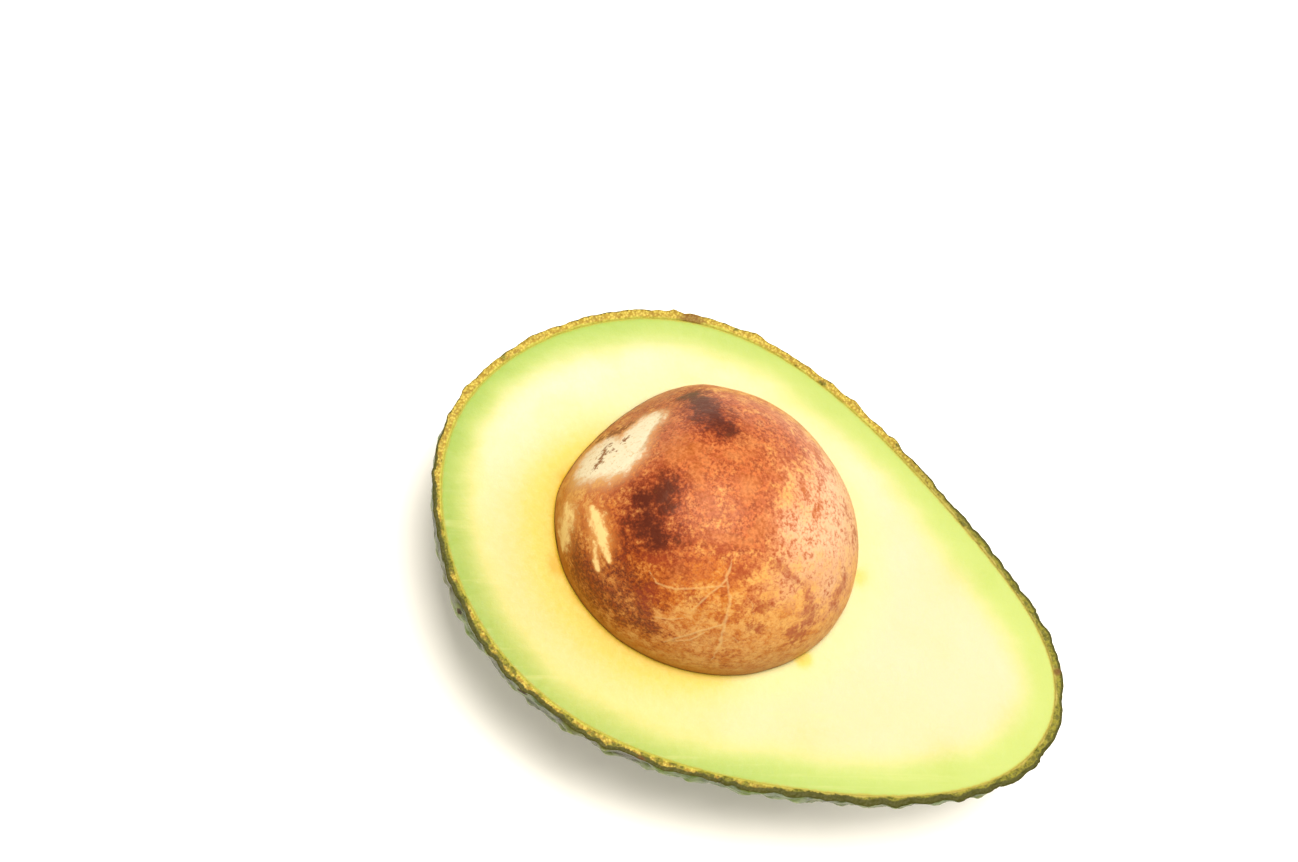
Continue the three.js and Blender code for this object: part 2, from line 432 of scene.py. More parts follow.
def skin_finish():
    """Waxy green leather, brown cork; darker valleys, paler pebbles, pale tips: partly painted shade and
    glints.
    """
    finish = Finish("waxy_green_peel")
    broad = finish.cloud(14 * MM, detail=2)
    mottle = finish.cloud(1.6 * MM, detail=4, roughness=0.65)
    grain = finish.cloud(0.35 * MM, detail=2)
    dimples = finish.cells(1.7 * MM)
    # Darker green down in the valleys and dimples, paler up the pebbles: partly the skin's own tone, partly
    # painted shade in the hollows.
    height = finish.maths("ADD", finish.mask("height"), finish.spread(mottle, -0.7, 0.7))
    height = finish.maths("SUBTRACT", height, finish.spread(dimples, -0.2, 0.4))
    green = finish.blend(finish.slope(height, -0.3, 0.7), colour(46, 50, 6), colour(108, 126, 28))
    green = finish.blend(finish.slope(broad, 0.42, 0.68), green, colour(100, 144, 30), 0.4)
    green = finish.blend(finish.slope(broad, 0.5, 0.3), green, colour(98, 84, 30), 0.5)
    tips_and_glints = finish.maths("ADD", finish.mask("tip_and_glint"), finish.spread(mottle, -0.9, 0.7))
    # Pale tips: partly the pebbles' own pale points, partly a painted highlight where they catch the light.
    green = finish.blend(finish.slope(tips_and_glints, 0.1, 0.9), green, colour(180, 196, 92), 0.6)
    cork = finish.maths("ADD", finish.mask("cork"), finish.spread(mottle, -0.5, 0.5))
    cork = finish.maths("ADD", cork, finish.spread(grain, -0.3, 0.3))
    core = finish.slope(cork, 0.0, 0.25)
    cork_brown = finish.blend(finish.slope(mottle, 0.4, 0.6), colour(46, 28, 18), colour(92, 64, 42))
    green = finish.blend(finish.slope(cork, -0.6, 0.0), green, colour(146, 146, 66), 0.45)
    green = finish.blend(core, green, cork_brown, 0.95)
    scar = finish.blend(finish.slope(mottle, 0.35, 0.65), colour(74, 50, 26), colour(172, 136, 84))
    green = finish.blend(finish.mask("scar"), green, scar)
    rough = finish.maths("ADD", finish.spread(mottle, 0.26, 0.5), finish.maths("MULTIPLY", core, 0.3))
    normal = finish.bump(dimples, -0.35 * MM)
    normal = finish.bump(mottle, 0.3 * MM, normal)
    normal = finish.bump(grain, 0.05 * MM, normal)
    return finish.finish({
        "Base Color": green,
        "Roughness": rough,
        "Normal": normal,
        "Specular IOR Level": 0.35,
        "Specular Tint": (1.0, 0.94, 0.72, 1),
    })


def rim_finish():
    """The cut edge of the skin: patchy gold stone cells in olive, and a dark green line at the outside."""
    finish = Finish("cut_peel_edge")
    grains = finish.cells(0.38 * MM)
    cloud = finish.cloud(0.7 * MM, detail=3, roughness=0.7)
    patches = finish.cloud(2.4 * MM, detail=3, roughness=0.6)
    along, across, _ = finish.node("SeparateXYZ", {0: finish.place}).outputs
    narrow_end = finish.slope(along, 8 * MM, 34 * MM)
    near_side = finish.slope(across, 4 * MM, -18 * MM)
    gold = finish.blend(finish.slope(grains, 0.1, 0.8), colour(240, 214, 94), colour(182, 146, 40))
    gold = finish.blend(finish.slope(cloud, 0.5, 0.64), gold, colour(138, 100, 26), 0.55)
    olive = finish.blend(finish.slope(cloud, 0.38, 0.62), colour(150, 144, 36), colour(84, 88, 10))
    bare = finish.maths("ADD", patches, finish.spread(near_side, -0.14, 0.02))
    edge = finish.blend(finish.slope(bare, 0.46, 0.58), gold, olive, 0.9)
    edge = finish.blend(narrow_end, edge, olive, 0.9)
    inward = finish.maths("ADD", finish.mask("rim_inward"), finish.spread(patches, -0.5 * MM, 0.5 * MM))
    inner_line = finish.blend(narrow_end, colour(214, 208, 84), colour(206, 186, 90))
    edge = finish.blend(finish.slope(inward, 0.34 * MM, 0.04 * MM), edge, inner_line, 0.9)
    line_width = finish.spread(near_side, 0.1 * MM, 0.65 * MM)
    line_width = finish.maths("ADD", line_width, finish.spread(narrow_end, 0, 0.35 * MM))
    depth = finish.maths("ADD", finish.mask("rim_depth"), finish.spread(cloud, -0.5 * MM, 0.5 * MM))
    line = finish.slope(finish.maths("SUBTRACT", line_width, depth), -0.1 * MM, 0.14 * MM)
    edge = finish.blend(line, edge, colour(66, 66, 2), 0.95)
    # Brown bruises, and the reddish nick, painted darker with the shade of its step.
    edge = finish.blend(finish.slope(finish.mask("bruise_and_nick_shade"), 0.2, 0.8), edge, colour(120, 62, 24), 0.7)
    normal = finish.bump(grains, 0.10 * MM)
    return finish.finish({
        "Base Color": edge,
        "Roughness": 0.55,
        "Normal": normal,
        "Specular IOR Level": 0.3,
        "Specular Tint": (1.0, 0.92, 0.6, 1),
    })


peel.data.materials.append(skin_finish())
peel.data.materials.append(rim_finish())
for face in peel.data.polygons:
    if any(outside_count <= corner < rim_end for corner in face.vertices):
        face.material_index = 1
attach(peel, "root")
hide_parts("skin")

# The flesh fills the skin: soft, buttery and moist, cream yellow in the middle and leaf green under the skin.
# The knife left its face flat, with faint drag lines. It grew round the seed, which leaves a close round
# hollow, with amber spots by it. On the seed's side away from the light, shade warmed by light thrown off
# the seed is painted on the flesh.
SEED_CENTRE = np.array([-10.3, 1.7, 0]) * MM
SEED_RADII = np.array([23.8, 21.8, 21.8]) * MM
SEED_TIP = 0.04  # how much the stem side draws out
SEED_SHOULDER = 0.034  # how much one flank does
SEED_SCAR_TOWARDS = np.array(Vector((-0.86, 0.31, 0.41)).normalized())
SEED_SCAR_HALF_ANGLE = 0.72  # radians, of the flattened scar where the seed was attached
SEED_SCAR_DEPTH = 2.6 * MM

FLESH_STEPS = 240
FLESH_INSIDE_STEPS = 60
FLESH_RINGS = 68
FLESH_GRIP = 0.06 * MM  # how far the flesh presses into the skin
HOLLOW_GAP = -0.05 * MM  # the flesh clings to the seed
SHADE_SIDE = np.array([-0.55, -0.84])  # the side of the seed away from the light, where painted shade lies deep on the flesh
KNIFE_TURN = math.radians(27)  # the way the knife was drawn, from the fruit's length
FACE_WAVES = ((0.07 * MM, 9 * MM), (0.02 * MM, 1.6 * MM))  # height and size of the swells on the cut face
SKIN_EDGE_SINK = 0.16 * MM  # how far the face drops where it meets the skin
SKIN_EDGE_REACH = 0.25 * MM
SEED_EDGE_SINK = 0.12 * MM  # and where it meets the seed
SEED_EDGE_REACH = 0.3 * MM
SEED_SHADE_AMBER_REACH = 5.0 * MM  # how far the painted shade by the seed fades out into the flesh
# how far the wider painted shade by the seed reaches
PAINTED_SEED_SHADE_REACH = 9 * MM
# Faint green smudges near the narrow end, and amber spots by the seed, given as the rim's bruises are.
SMUDGES = (
    (27.9, 15.4, 3.0, 0.6), (32.5, 17.1, 2.2, 0.7), (45.2, 7.1, 2.6, 0.4), (45.3, -0.8, 3.2, 0.6),
    (38.8, -11.3, 3.4, 0.9), (18.0, -18.5, 4.2, 0.5), (4.0, -25.0, 3.4, 0.4),
)
AMBER_SPOTS = (
    (-27.4, -13.4, 1.5, 1.2), (14.4, 7.6, 2.0, 0.7), (12.4, -8.0, 1.4, 1.3), (-32.6, -1.0, 1.7, 0.5),
)


def seed_points(towards, margin):
    """The seed's surface towards each unit direction, grown outwards by margin, about the fruit's middle."""
    drawn_out = 1 + towards * np.array([SEED_TIP, SEED_SHOULDER, 0])
    angle = np.arccos(np.clip(towards @ SEED_SCAR_TOWARDS, -1, 1)) / SEED_SCAR_HALF_ANGLE
    reach = margin - SEED_SCAR_DEPTH * np.clip(1 - angle**2, 0, None) ** 1.5
    return towards * (SEED_RADII * drawn_out + reach[:, None]) + SEED_CENTRE


flesh = Shell()
face_towards = rim_directions(FLESH_STEPS)
flesh_edge = fruit_points(face_towards, SKIN_THICKNESS - FLESH_GRIP)
hollow_edge = seed_points(face_towards, HOLLOW_GAP)
span = np.linalg.norm(flesh_edge - hollow_edge, axis=1)
edge_tree = kdtree.KDTree(len(flesh_edge))
for number, point in enumerate(flesh_edge):
    edge_tree.insert(point, number)
edge_tree.balance()

hollow = seed_points(bowl_directions(FLESH_INSIDE_STEPS, INSIDE_REACH), HOLLOW_GAP)
hollow_loop = flesh.add_bowl(hollow + fruit_middle)
loop = None
flesh_masks = {"from_skin": [], "from_seed": [], "smudge": [], "amber_spots_and_seed_shade": [], "painted_seed_shade": []}
for ring in range(FLESH_RINGS + 1):
    share = 0.5 - 0.5 * math.cos(math.pi * ring / FLESH_RINGS)  # rings crowd towards both edges
    points = hollow_edge + (flesh_edge - hollow_edge) * share
    from_skin = np.array([edge_tree.find(point)[2] for point in points])
    from_seed = span * share
    towards_shade = (points - SEED_CENTRE)[:, :2]
    shade = towards_shade @ SHADE_SIDE / np.linalg.norm(towards_shade, axis=1)
    # Painted shade, warmed by light off the seed, on its side away from the light, and the real amber spots.
    amber_spots_and_seed_shade = 1.5 * np.exp(-from_seed / SEED_SHADE_AMBER_REACH) * fade(shade, -0.1, 0.8) + spots(points, AMBER_SPOTS)
    smudge = spots(points, SMUDGES)
    points[:, 2] += sum(height * lumps(points, size, 2) for height, size in FACE_WAVES)
    points[:, 2] -= SKIN_EDGE_SINK * np.exp(-from_skin / SKIN_EDGE_REACH)
    points[:, 2] -= SEED_EDGE_SINK * np.exp(-from_seed / SEED_EDGE_REACH)
    next_loop = flesh.add_points(points + fruit_middle)
    if loop is None:
        flesh.add_taper(next_loop, hollow_loop)
    else:
        flesh.add_band(loop, next_loop)
    loop = next_loop
    flesh_masks["from_skin"].append(from_skin)
    flesh_masks["from_seed"].append(from_seed)
    flesh_masks["smudge"].append(smudge)
    flesh_masks["amber_spots_and_seed_shade"].append(amber_spots_and_seed_shade)
    # A wider painted shade by the seed, on its side away from the light.
    flesh_masks["painted_seed_shade"].append(np.exp(-from_seed / PAINTED_SEED_SHADE_REACH) * fade(shade, 0.0, 0.9))
outer_wall = fruit_points(bowl_directions(FLESH_INSIDE_STEPS, INSIDE_REACH), SKIN_THICKNESS - FLESH_GRIP)
flesh.add_taper(loop, flesh.add_bowl(outer_wall + fruit_middle))
hidden = np.zeros((FLESH_INSIDE_STEPS + 1) ** 2)
for mask, rings in flesh_masks.items():
    flesh_masks[mask] = np.concatenate([hidden, *rings, hidden])
pulp = flesh.make("pulp", flesh_masks)


def flesh_finish():
    """Cream yellow, leaf green at the skin, with knife drag, green smudges, amber spots and painted seed
    shade.
    """
    finish = Finish("buttery_flesh")
    broad = finish.cloud(11 * MM, detail=3)
    fine = finish.cloud(0.8 * MM, detail=3, roughness=0.6)
    drag = finish.cloud(1.2 * MM, detail=3, stretch=(14, 1, 1), turn=KNIFE_TURN)
    veil = finish.cloud(3.0 * MM, detail=2, stretch=(5, 1, 1), turn=KNIFE_TURN)
    along, side, _ = finish.node("SeparateXYZ", {0: finish.place}).outputs
    cream = finish.blend(finish.slope(broad, 0.35, 0.65), colour(248, 229, 168), colour(249, 231, 188))
    cream = finish.blend(finish.slope(side, 4 * MM, -26 * MM), cream, colour(249, 225, 144), 0.8)
    cream = finish.blend(finish.slope(along, -5 * MM, 30 * MM), cream, colour(246, 220, 164), 0.7)
    from_skin = finish.maths("ADD", finish.mask("from_skin"), finish.spread(broad, -1.5 * MM, 1.5 * MM))
    nearer = finish.spread(finish.slope(along, 10 * MM, 50 * MM), 0, 0.7 * MM)
    from_skin = finish.maths("SUBTRACT", from_skin, nearer)
    from_skin = finish.maths("ADD", from_skin, finish.spread(veil, -0.8 * MM, 0.8 * MM))
    face = finish.blend(finish.slope(from_skin, 8.0 * MM, 2.0 * MM), cream, colour(218, 226, 118))
    green = finish.slope(from_skin, 6.0 * MM, 0.2 * MM)
    green = finish.maths("MULTIPLY", green, finish.slope(along, 90 * MM, -40 * MM))
    green = finish.maths("MULTIPLY", green, finish.slope(side, 90 * MM, -30 * MM))
    face = finish.blend(green, face, colour(140, 182, 2))
    smudge = finish.maths("MULTIPLY", finish.mask("smudge"), finish.spread(fine, 0.3, 1.3))
    face = finish.blend(smudge, face, colour(188, 206, 70), 0.5)
    streaked = finish.slope(side, 0, -22 * MM)
    streaks = finish.maths("MULTIPLY", finish.slope(drag, 0.52, 0.72), streaked)
    face = finish.blend(streaks, face, colour(240, 232, 142), 0.25)
    amber_spots_and_seed_shade = finish.maths("MULTIPLY", finish.mask("amber_spots_and_seed_shade"), finish.spread(fine, 0.7, 1.25))
    glow = finish.slope(finish.mask("from_seed"), 9 * MM, 0)
    face = finish.blend(glow, face, colour(252, 238, 146), 0.5)
    # Painted shade, warmed by light off the seed, spread wider on its side away from the light.
    face = finish.blend(finish.mask("painted_seed_shade"), face, colour(253, 210, 100), 0.8)
    # Amber: the real amber spots, and painted shade warmed by light off the seed, deepest next to the seed.
    face = finish.blend(finish.slope(amber_spots_and_seed_shade, 0.05, 0.9), face, colour(255, 214, 56), 0.8)
    face = finish.blend(finish.slope(amber_spots_and_seed_shade, 0.7, 2.1), face, colour(244, 186, 0), 0.9)
    border = finish.maths("ADD", finish.mask("from_skin"), finish.spread(fine, -0.25 * MM, 0.25 * MM))
    face = finish.blend(finish.slope(border, 0.45 * MM, 0.1 * MM), face, colour(206, 186, 66), 0.85)
    normal = finish.bump(drag, 0.02 * MM)
    normal = finish.bump(fine, 0.04 * MM, normal)
    return finish.finish({
        "Base Color": face,
        "Roughness": finish.spread(fine, 0.42, 0.58),
        "Normal": normal,
        "Specular IOR Level": 0.35,
        "Subsurface Weight": 0.25,
        "Subsurface Radius": (1.0, 0.75, 0.3),
        "Subsurface Scale": 2.5 * MM,
    })


pulp.data.materials.append(flesh_finish())
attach(pulp, "root")
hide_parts("flesh")

# The seed is one hard ball, whole, because the knife goes round it. A thin papery coat covers it, russet and
# mottled on top and tan below, with fine pale veins. The coat has torn away at the cream scar where the seed
# was attached, and in two slivers beside it. It sits in the flesh's hollow, held by its close fit.
SEED_STEPS = 300
SEED_INSIDE_STEPS = 75
# Marks on the seed. Each is a chain of places: a direction from the seed's middle and the half width there.
TORN_COAT = (
    ((-0.77, 0.38, 0.51, 0.16), (-0.80, 0.05, 0.58, 0.21), (-0.94, 0.02, 0.33, 0.22)),
)
TORN_EDGES = (
    ((-0.97, 0.22, 0.13, 0.04), (-0.93, 0.28, 0.24, 0.05), (-0.90, 0.33, 0.28, 0.05),
     (-0.84, 0.42, 0.35, 0.03)),
    ((-0.94, 0.14, 0.33, 0.035), (-0.92, 0.03, 0.38, 0.04), (-0.91, -0.06, 0.42, 0.03)),
    ((-0.85, 0.22, 0.47, 0.028), (-0.84, 0.23, 0.48, 0.028)),
    ((-0.89, 0.10, 0.45, 0.03), (-0.86, 0.10, 0.49, 0.025)),
)
SLIVERS = (
    ((-0.89, -0.37, 0.27, 0.03), (-0.85, -0.44, 0.28, 0.09), (-0.82, -0.54, 0.20, 0.09),
     (-0.76, -0.64, 0.12, 0.02)),
    ((-0.74, -0.40, 0.54, 0.03), (-0.66, -0.47, 0.59, 0.06), (-0.59, -0.56, 0.58, 0.06),
     (-0.49, -0.66, 0.57, 0.02)),
    ((-0.62, -0.58, 0.53, 0.03), (-0.53, -0.72, 0.45, 0.02)),
)
DARK_PATCHES = (
    ((-0.52, -0.23, 0.83, 0.07), (-0.43, -0.29, 0.85, 0.13), (-0.38, -0.38, 0.84, 0.14),
     (-0.32, -0.44, 0.84, 0.10)),
    ((-0.39, -0.20, 0.90, 0.09), (-0.40, -0.09, 0.91, 0.07)),
    ((-0.53, 0.71, 0.47, 0.06), (-0.36, 0.55, 0.75, 0.09), (-0.28, 0.47, 0.84, 0.08),
     (-0.20, 0.49, 0.85, 0.04)),
)
RUSSET = (
    ((-0.66, 0.55, 0.50, 0.45), (-0.30, 0.20, 0.93, 0.60), (-0.34, -0.25, 0.91, 0.45)),
    ((-0.25, 0.60, 0.76, 0.40), (0.18, 0.62, 0.76, 0.26)),
    ((0.02, 0.30, 0.95, 0.26), (0.10, 0.02, 0.99, 0.24), (0.16, -0.18, 0.97, 0.20)),
)
# Brown on the seed's near side: partly its own brown mottling, partly painted shade where that side turns
# from the light.
BROWN_AND_SHADE = (
    ((-0.74, -0.62, 0.26, 0.12), (-0.48, -0.80, 0.36, 0.20), (-0.30, -0.84, 0.45, 0.18),
     (-0.10, -0.90, 0.42, 0.08)),
    ((-0.36, -0.70, 0.62, 0.14), (-0.20, -0.78, 0.59, 0.10)),
)
ORANGE = (
    ((-0.62, -0.36, 0.69, 0.14), (-0.46, -0.50, 0.74, 0.20), (-0.15, -0.54, 0.82, 0.26),
     (0.10, -0.46, 0.88, 0.16)),
)
# The coat's paler far side, with a painted sheen laid on it.
PALE_AND_SHEEN = (
    ((0.40, 0.10, 0.91, 0.22), (0.62, 0.14, 0.77, 0.40), (0.50, 0.54, 0.67, 0.42)),
)
RED_SPECKS = (
    ((0.06, -0.34, 0.94, 0.04), (0.17, -0.37, 0.92, 0.03), (0.26, -0.37, 0.89, 0.05)),
    ((0.39, -0.20, 0.90, 0.05), (0.43, -0.19, 0.88, 0.06), (0.51, -0.19, 0.84, 0.03),
     (0.63, -0.20, 0.75, 0.05)),
    ((0.63, -0.20, 0.75, 0.04), (0.70, -0.25, 0.67, 0.05), (0.77, -0.30, 0.56, 0.08)),
    ((0.49, -0.47, 0.74, 0.045), (0.46, -0.49, 0.74, 0.045)),
    ((0.47, -0.61, 0.63, 0.04), (0.53, -0.58, 0.62, 0.04)),
    ((0.78, -0.44, 0.44, 0.06), (0.72, -0.46, 0.52, 0.05)),
    ((0.87, -0.10, 0.48, 0.06), (0.87, 0.04, 0.49, 0.07)),
    ((-0.17, -0.78, 0.60, 0.06), (-0.15, -0.74, 0.65, 0.06)),
    ((-0.27, -0.57, 0.78, 0.05), (-0.21, -0.53, 0.82, 0.05)),
    ((0.07, -0.66, 0.75, 0.05), (0.12, -0.64, 0.76, 0.04)),
)
VEINS = (
    ((0.16, -0.33, 0.93, 0.010), (0.18, -0.44, 0.88, 0.014), (0.27, -0.55, 0.79, 0.017),
     (0.31, -0.63, 0.71, 0.018), (0.33, -0.72, 0.61, 0.017), (0.37, -0.79, 0.49, 0.015),
     (0.39, -0.87, 0.31, 0.010)),
    ((0.19, -0.45, 0.87, 0.013), (0.16, -0.55, 0.82, 0.013), (0.13, -0.64, 0.76, 0.011),
     (0.10, -0.73, 0.67, 0.008)),
    ((-0.25, -0.64, 0.73, 0.010), (-0.17, -0.68, 0.72, 0.014), (-0.06, -0.67, 0.74, 0.016),
     (0.08, -0.58, 0.81, 0.014), (0.20, -0.50, 0.84, 0.012)),
    ((-0.06, -0.85, 0.53, 0.010), (0.01, -0.83, 0.56, 0.013), (0.08, -0.79, 0.61, 0.009)),
    ((0.07, -0.93, 0.35, 0.012), (0.14, -0.87, 0.47, 0.016), (0.22, -0.79, 0.57, 0.016),
     (0.31, -0.70, 0.64, 0.013)),
    ((0.11, -0.91, 0.40, 0.012), (0.20, -0.86, 0.47, 0.014), (0.25, -0.79, 0.57, 0.010)),
    ((0.35, -0.48, 0.81, 0.009), (0.41, -0.50, 0.77, 0.011), (0.45, -0.54, 0.71, 0.008)),
    ((0.33, -0.72, 0.61, 0.010), (0.46, -0.72, 0.52, 0.009), (0.60, -0.70, 0.38, 0.008)),
)
MARK_WANDER = 0.016  # how far the marks' edges stray, as a share of the seed's radius
VEIN_WANDER = 0.012
# Slight waviness of the coat: height, size as a share of the seed's radius, and layers.
COAT_WAVES = ((0.16 * MM, 0.35, 2), (0.03 * MM, 0.06, 3))
VEIN_RISE = 0.07 * MM
SCAR_SINK = 0.10 * MM  # the bare scar lies this far below the coat
SCAR_LIP = 0.07 * MM  # the coat's raised edge round it


def mark_depth(towards, marks):
    """How deep in the marks each direction lies: 1 along a mark's middle, 0 at its edge, negative outside."""
    depth = np.full(len(towards), OUTSIDE)
    for chain in marks:
        for (*start, start_width), (*end, end_width) in zip(chain, chain[1:]):
            first = np.array(Vector(start).normalized())
            run = np.array(Vector(end).normalized()) - first
            share = np.clip((towards - first) @ run / (run @ run), 0, 1)
            gap = np.linalg.norm(towards - first - share[:, None] * run, axis=1)
            depth = np.maximum(depth, 1 - gap / (start_width + (end_width - start_width) * share))
    return depth


seed = Shell()
dome_towards = bowl_directions(SEED_STEPS) * np.array([1, 1, -1])
wobble = np.column_stack([lumps(dome_towards + shift, 0.16, 2) for shift in (0, 5, 9)])
wavy = dome_towards + MARK_WANDER * wobble
wavy /= np.linalg.norm(wavy, axis=1)[:, None]
finely_wavy = dome_towards + VEIN_WANDER * np.column_stack([lumps(dome_towards + 3, 0.07, 2)] * 3)
marks = {
    "bare": mark_depth(wavy, TORN_COAT),
    "torn": mark_depth(wavy, TORN_EDGES),
    "sliver": mark_depth(wavy, SLIVERS),
    "dark": mark_depth(wavy, DARK_PATCHES),
    "russet": mark_depth(wavy, RUSSET),
    "brown_and_shade": mark_depth(wavy, BROWN_AND_SHADE),
    "orange": mark_depth(wavy, ORANGE),
    "pale_coat_and_sheen": mark_depth(wavy, PALE_AND_SHEEN),
    "speck": mark_depth(wavy, RED_SPECKS),
    "vein": mark_depth(finely_wavy, VEINS),
}
bare = marks["bare"]
rise = sum(height * lumps(dome_towards, size, layers) for height, size, layers in COAT_WAVES)
rise += VEIN_RISE * fade(marks["vein"], 0, 1)
rise -= SCAR_SINK * fade(bare, 0.0, 0.2)
rise += SCAR_LIP * np.exp(-((bare / 0.12) ** 2))
dome = seed_points(dome_towards, 0) + dome_towards * rise[:, None]
dome_loop = seed.add_bowl(dome + fruit_middle)
underside = seed_points(bowl_directions(SEED_INSIDE_STEPS, INSIDE_REACH), 0)
seed.add_taper(dome_loop, seed.add_bowl(underside + fruit_middle))
hidden = np.zeros(len(underside))
seed_masks = {mask: np.concatenate([values, hidden + OUTSIDE]) for mask, values in marks.items()}
seed_masks["above_cut"] = np.concatenate([dome[:, 2], hidden])
seed_masks["near_side"] = np.concatenate([-dome_towards[:, 1], hidden])
stone = seed.make("stone", seed_masks)


def seed_finish():
    """Papery seed coat: tan, mottled russet on top, with dark patches, and brown on the near side darkened by
    painted shade. A painted sheen on its pale side, painted shade by the flesh, a bare scar, slivers and
    veins.
    """
    finish = Finish("papery_seed_coat")
    broad = finish.cloud(6 * MM, detail=3, roughness=0.6, twist=0.4)
    mottle = finish.cloud(1.9 * MM, detail=5, roughness=0.7)
    grain = finish.cloud(0.55 * MM, detail=3, roughness=0.7)
    speckle = finish.cloud(0.3 * MM, detail=2, roughness=0.6)

    def patchy(mask, coarse, middle, fine):
        """A mask with its edge broken up by the clouds, each by so much of the mark's half width."""
        value = finish.maths("ADD", finish.mask(mask), finish.spread(broad, -coarse, coarse))
        value = finish.maths("ADD", value, finish.spread(mottle, -middle, middle))
        return finish.maths("ADD", value, finish.spread(grain, -fine, fine))

    coat = finish.blend(finish.slope(mottle, 0.36, 0.64), colour(252, 184, 96), colour(222, 130, 42))
    orange = finish.slope(patchy("orange", 2.0, 2.0, 0.6), -1.0, 0.8)
    coat = finish.blend(orange, coat, colour(226, 120, 14), 0.8)
    # Paler coat on the far side: partly its own pale tan, partly a painted sheen.
    pale_coat_and_sheen = finish.slope(patchy("pale_coat_and_sheen", 1.2, 1.4, 0.6), -0.8, 1.0)
    coat = finish.blend(pale_coat_and_sheen, coat, colour(254, 206, 162), 0.85)
    coat = finish.blend(finish.slope(grain, 0.48, 0.62), coat, colour(188, 92, 30), 0.4)
    coat = finish.blend(finish.slope(speckle, 0.52, 0.68), coat, colour(246, 186, 116), 0.35)
    red = finish.blend(finish.slope(grain, 0.4, 0.6), colour(222, 110, 54), colour(140, 40, 16))
    red = finish.blend(finish.slope(mottle, 0.48, 0.64), red, colour(178, 82, 54), 0.75)
    red = finish.blend(finish.slope(speckle, 0.5, 0.66), red, colour(236, 144, 82), 0.4)
    red = finish.blend(finish.slope(broad, 0.5, 0.62), red, colour(234, 146, 80), 0.5)
    russet = patchy("russet", 1.2, 1.4, 1.0)
    coat = finish.blend(finish.slope(russet, -0.8, 0.4), coat, colour(212, 112, 60), 0.65)
    coat = finish.blend(finish.slope(russet, -0.4, 0.7), coat, red, 0.8)
    # Brown on the near side: the coat's own brown mottling, darkened further with painted shade.
    brown_and_shade_mask = patchy("brown_and_shade", 1.6, 2.8, 1.8)
    coat = finish.blend(finish.slope(brown_and_shade_mask, -2.2, 0.2), coat, colour(214, 108, 14), 0.7)
    brown_and_shade = finish.blend(finish.slope(grain, 0.38, 0.6), colour(172, 70, 0), colour(104, 26, 0))
    brown_and_shade = finish.blend(finish.slope(speckle, 0.54, 0.7), brown_and_shade, colour(200, 104, 12), 0.4)
    coat = finish.blend(finish.slope(brown_and_shade_mask, -1.0, 1.0), coat, brown_and_shade, 0.9)
    dark = patchy("dark", 1.4, 2.2, 1.6)
    coat = finish.blend(finish.slope(dark, -1.9, 0.2), coat, colour(150, 50, 16), 0.75)
    coat = finish.blend(finish.slope(dark, -0.8, 0.9), coat, colour(84, 26, 12), 0.88)
    specks = finish.slope(patchy("speck", 1.2, 2.6, 1.6), -0.8, 1.2)
    coat = finish.blend(specks, coat, colour(170, 64, 30), 0.6)
    vein = finish.slope(finish.mask("vein"), 0.1, 1)
    vein = finish.maths("MULTIPLY", vein, finish.spread(mottle, -0.2, 1.9))
    coat = finish.blend(vein, coat, colour(262, 222, 146), 0.5)
    # Painted shade, warmed by light off the flesh, on the seed's near side just above the cut.
    painted_foot_shade = finish.slope(finish.mask("above_cut"), 4.8 * MM, 0.4 * MM)
    painted_foot_shade = finish.maths("MULTIPLY", painted_foot_shade, finish.slope(finish.mask("near_side"), 0.1, 0.7))
    coat = finish.blend(painted_foot_shade, coat, colour(206, 124, 0), 0.75)
    sliver = patchy("sliver", 0.8, 1.8, 0.8)
    coat = finish.blend(finish.slope(sliver, -1.6, 0.3), coat, colour(230, 144, 62), 0.7)
    coat = finish.blend(finish.slope(sliver, -0.5, 0.8), coat, colour(286, 244, 156), 0.95)
    bare = patchy("bare", 0.3, 0.5, 0.3)
    coat = finish.blend(finish.slope(bare, -0.6, 0.1), coat, colour(238, 178, 116), 0.75)
    scar = finish.blend(finish.slope(grain, 0.52, 0.7), colour(272, 256, 216), colour(240, 200, 132), 0.75)
    coat = finish.blend(finish.slope(bare, -0.2, 0.32), coat, scar, 0.97)
    torn = finish.slope(patchy("torn", 0.6, 2.6, 3.0), -0.5, 0.9)
    coat = finish.blend(torn, coat, colour(146, 74, 14), 0.92)
    # Painted shade in the crease where the seed meets the flesh.
    painted_seam_shade = finish.slope(finish.mask("above_cut"), 0.9 * MM, 0.1 * MM)
    coat = finish.blend(painted_seam_shade, coat, colour(88, 40, 4), 0.75)
    normal = finish.bump(mottle, 0.10 * MM)
    normal = finish.bump(grain, 0.04 * MM, normal)
    return finish.finish({
        "Base Color": coat,
        "Roughness": finish.spread(grain, 0.38, 0.5),
        "Normal": normal,
        "Specular IOR Level": 0.28,
        "Specular Tint": (1.0, 0.72, 0.5, 1),
    })


stone.data.materials.append(seed_finish())
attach(stone, "root")
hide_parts("seed")

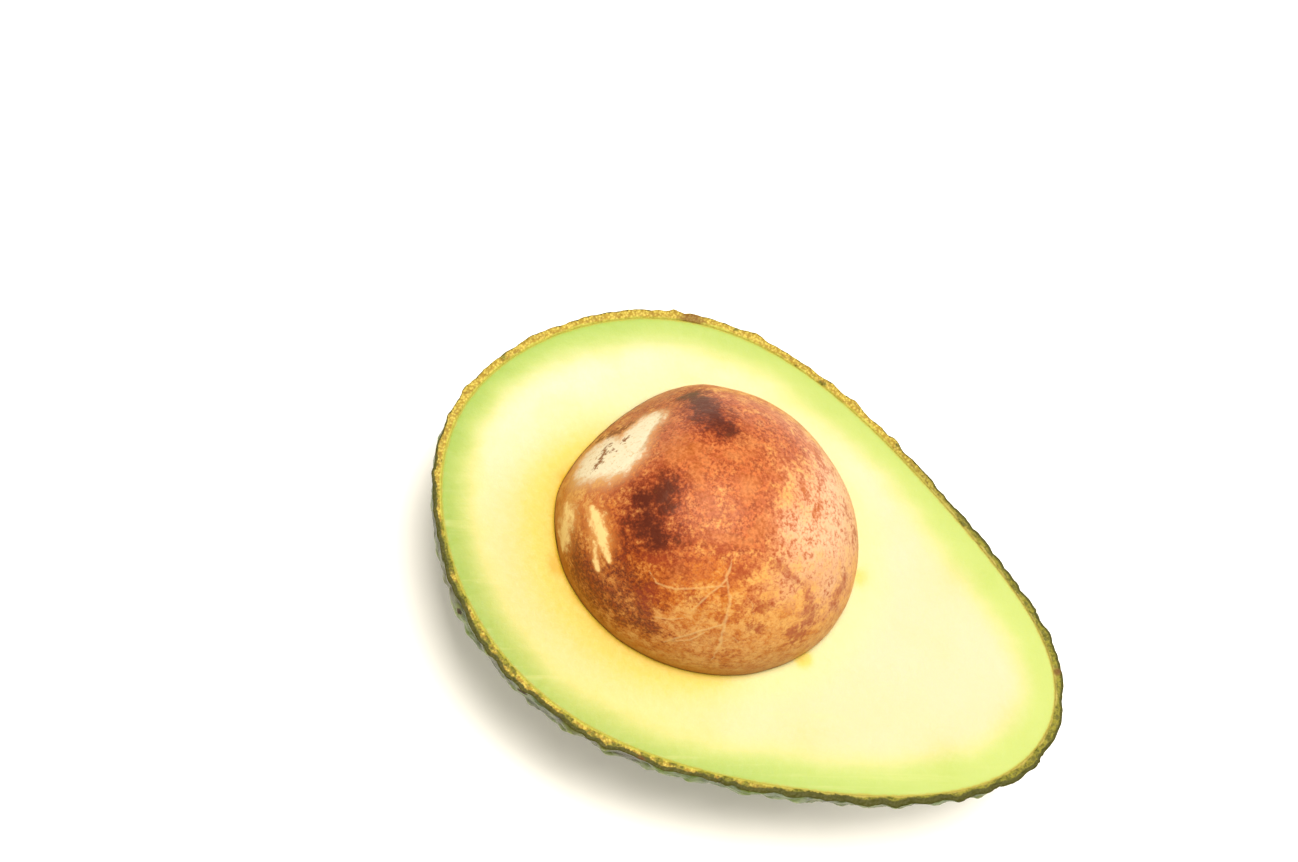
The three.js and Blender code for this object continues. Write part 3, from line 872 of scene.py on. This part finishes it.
# The table is a plain sheet of smooth white card, much wider than the fruit, which lies loose on it. The card
# gives off a little warm light, as one lit from below does, so that it shows as nearly pure white.
TABLE_WIDTH = 6.0
TABLE_DROP = 0.05 * MM  # keeps the card just clear of the skin's flat
half_table = TABLE_WIDTH / 2
table_mesh = bpy.data.meshes.new("table")
corner_signs = ((-1, -1), (1, -1), (1, 1), (-1, 1))
table_corners = [(x * half_table, y * half_table, -TABLE_DROP) for x, y in corner_signs]
table_mesh.from_pydata(table_corners, [], [(0, 1, 2, 3)])
table = bpy.data.objects.new("table", table_mesh)
bpy.context.scene.collection.objects.link(table)
card = Finish("white_card")
table_mesh.materials.append(card.finish({
    "Base Color": (0.93, 0.885, 0.80, 1),
    "Emission Color": (1.0, 0.92, 0.74, 1),
    "Emission Strength": 0.13,
    "Roughness": 0.7,
    "Specular IOR Level": 0.2,
}))

# The light is a studio's: a square soft box almost straight overhead, a wider and weaker one past the stem
# end on the far side, and a white room that fills the shadows.
ROOM_COLOUR = (1.0, 0.98, 0.95, 1)
ROOM_BRIGHTNESS = 0.59
LAMP_COLOUR = (1.0, 0.985, 0.96)
# Which way each box stands from the fruit, how far off, how wide and how strong, in metres and watts.
SOFT_BOXES = {
    "overhead": ((-0.06, 0.07, 0.99), 0.9, 0.36, 11.5),
    "right_side": ((0.62, 0.52, 0.58), 1.2, 0.55, 5.0),
}
room = bpy.data.worlds.new("room")
room.use_nodes = True
room.node_tree.nodes["Background"].inputs["Color"].default_value = ROOM_COLOUR
room.node_tree.nodes["Background"].inputs["Strength"].default_value = ROOM_BRIGHTNESS
bpy.context.scene.world = room
for name, (direction, distance, width, watts) in SOFT_BOXES.items():
    lamp = bpy.data.lights.new(name, "AREA")
    lamp.shape = "SQUARE"
    lamp.size = width
    lamp.energy = watts
    lamp.color = LAMP_COLOUR
    holder = bpy.data.objects.new(name, lamp)
    bpy.context.scene.collection.objects.link(holder)
    towards = Vector(direction).normalized()
    holder.location = Vector(fruit_middle) + towards * distance
    holder.rotation_euler = (-towards).to_track_quat("-Z", "Y").to_euler()
bpy.context.scene.view_settings.view_transform = "Standard"

# The camera looks down on the cut face from its near side, with a long lens, and is rolled so that the
# narrow end points down to the right.
CAMERA_TILT = math.radians(18)  # from straight above
CAMERA_SWING = math.radians(12)  # round from the fruit's near side towards its blossom end
CAMERA_ROLL = math.radians(-40.2)
CAMERA_DISTANCE = 459.5 * MM
CAMERA_AIM = np.array([-24.5, 12.0, 0]) * MM + fruit_middle
CAMERA_LENS = 83.2  # mm
CAMERA_FILM = 36  # mm
CAMERA_NEAREST = 0.01  # m
from_aim = Vector((
    -math.sin(CAMERA_TILT) * math.sin(CAMERA_SWING),
    -math.sin(CAMERA_TILT) * math.cos(CAMERA_SWING),
    math.cos(CAMERA_TILT),
))
lens = bpy.data.cameras.new("camera")
lens.lens = CAMERA_LENS
lens.sensor_width = CAMERA_FILM
lens.clip_start = CAMERA_NEAREST
camera = bpy.data.objects.new("camera", lens)
bpy.context.scene.collection.objects.link(camera)
camera.location = Vector(CAMERA_AIM) + from_aim * CAMERA_DISTANCE
level = (-from_aim).to_track_quat("-Z", "Y").to_matrix().to_4x4()
rolled = level @ Matrix.Rotation(-CAMERA_ROLL, 4, "Z")
camera.rotation_euler = rolled.to_euler()
bpy.context.scene.camera = camera


def corners(box):
    """A box's two corners as plain numbers."""
    return [[float(value) for value in corner] for corner in box]
